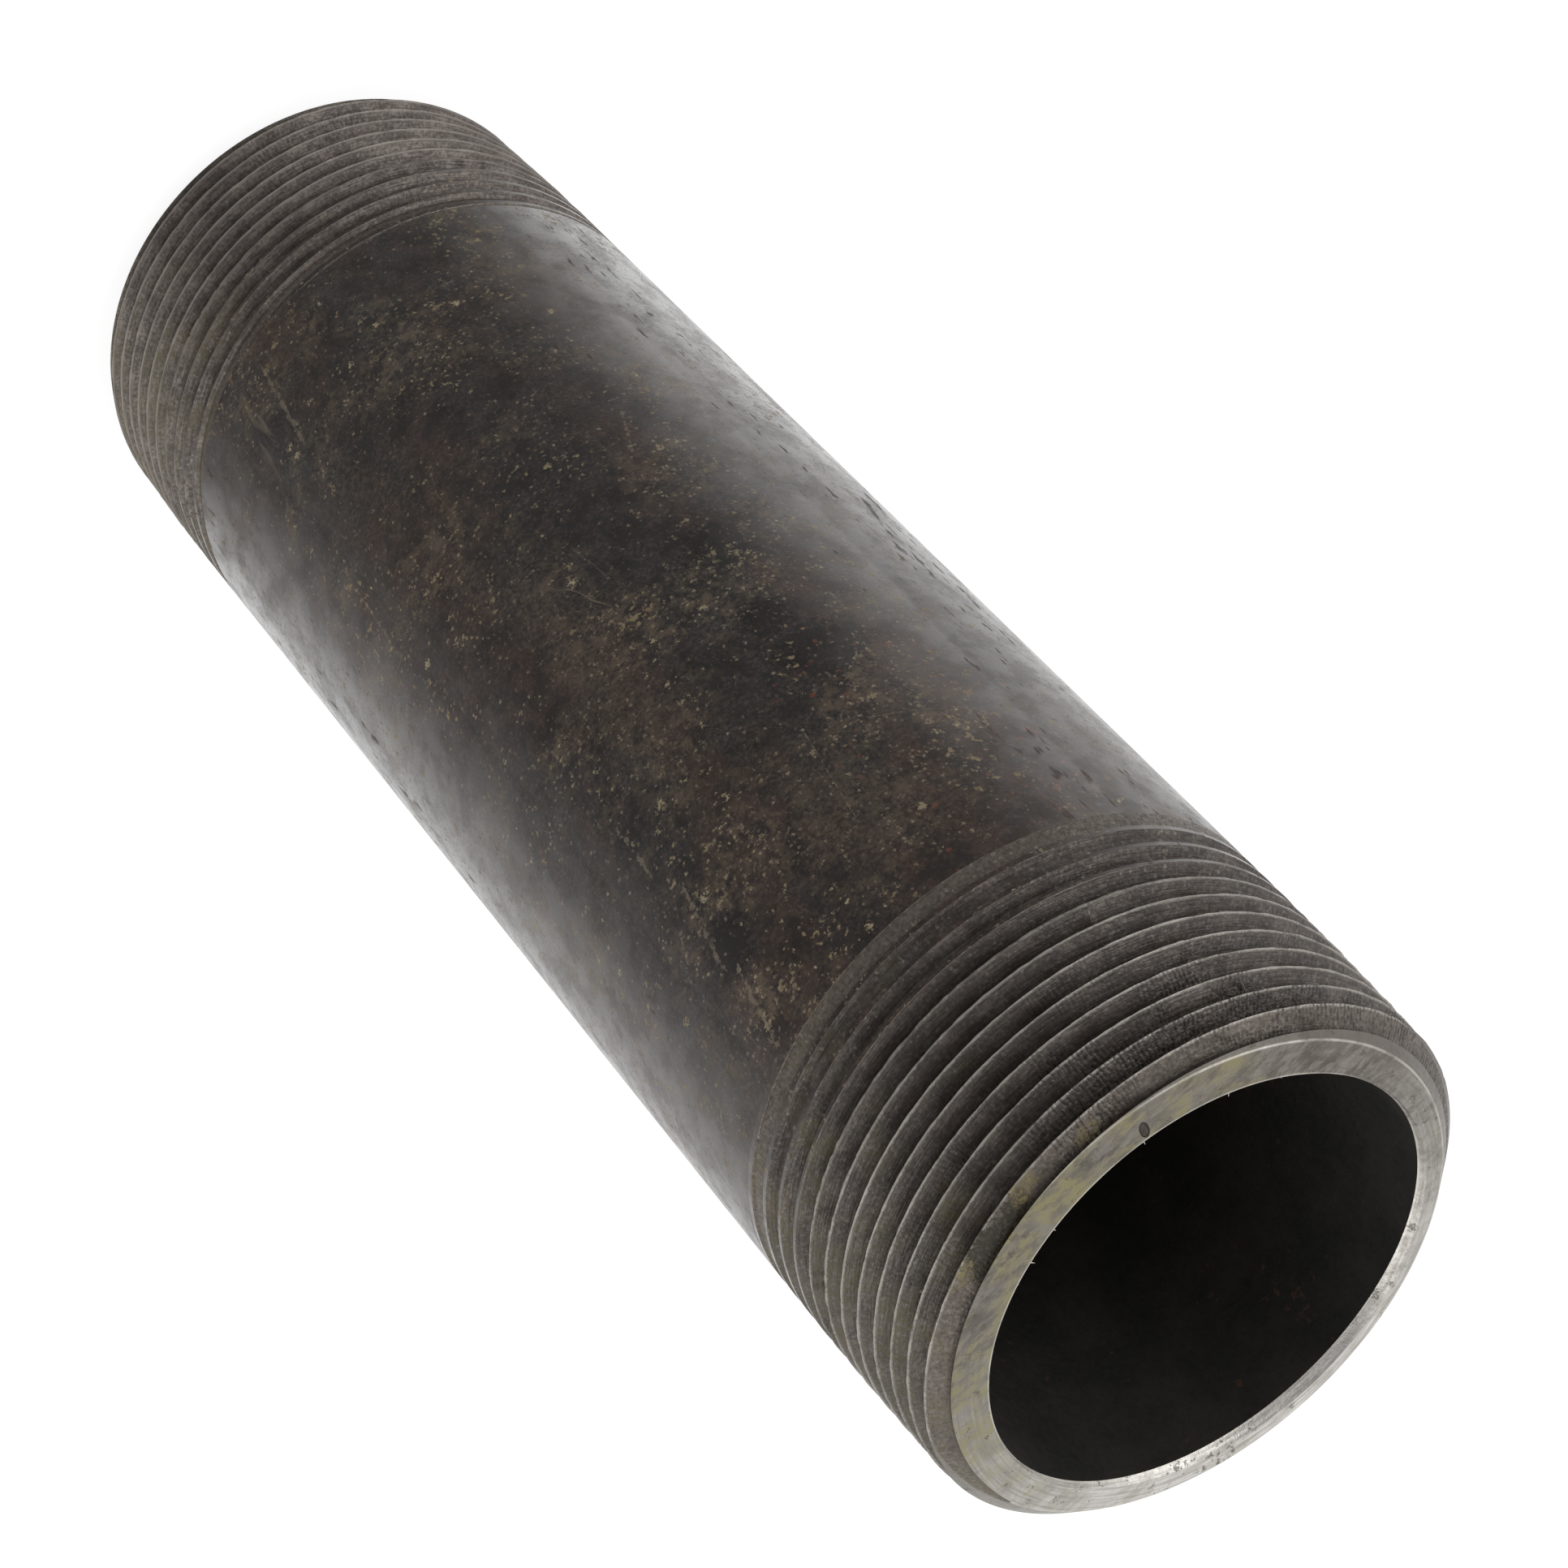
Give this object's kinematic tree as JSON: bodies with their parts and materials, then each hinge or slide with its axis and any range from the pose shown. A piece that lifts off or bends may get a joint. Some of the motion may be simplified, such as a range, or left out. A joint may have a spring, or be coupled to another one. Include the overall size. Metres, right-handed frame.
{
  "type": "threaded pipe nipple",
  "caption": "Straight steel pipe with a tapered male pipe thread on each end, for joining two threaded fittings a short way apart.",
  "frame": {"origin": "centre of the lower end face, on the pipe's axis", "axes": "+Z along the pipe's axis towards the upper end face; X and Y are any two directions across it"},
  "size_m": [0.0482, 0.0482, 0.1524],
  "materials": {
    "black_steel": "semi-gloss black-brown mill varnish on the barrel, oily bare cut steel on the threads and end faces"
  },
  "bodies": {
    "root": {"pipe_nipple": "black_steel"}
  },
  "joints": []
}
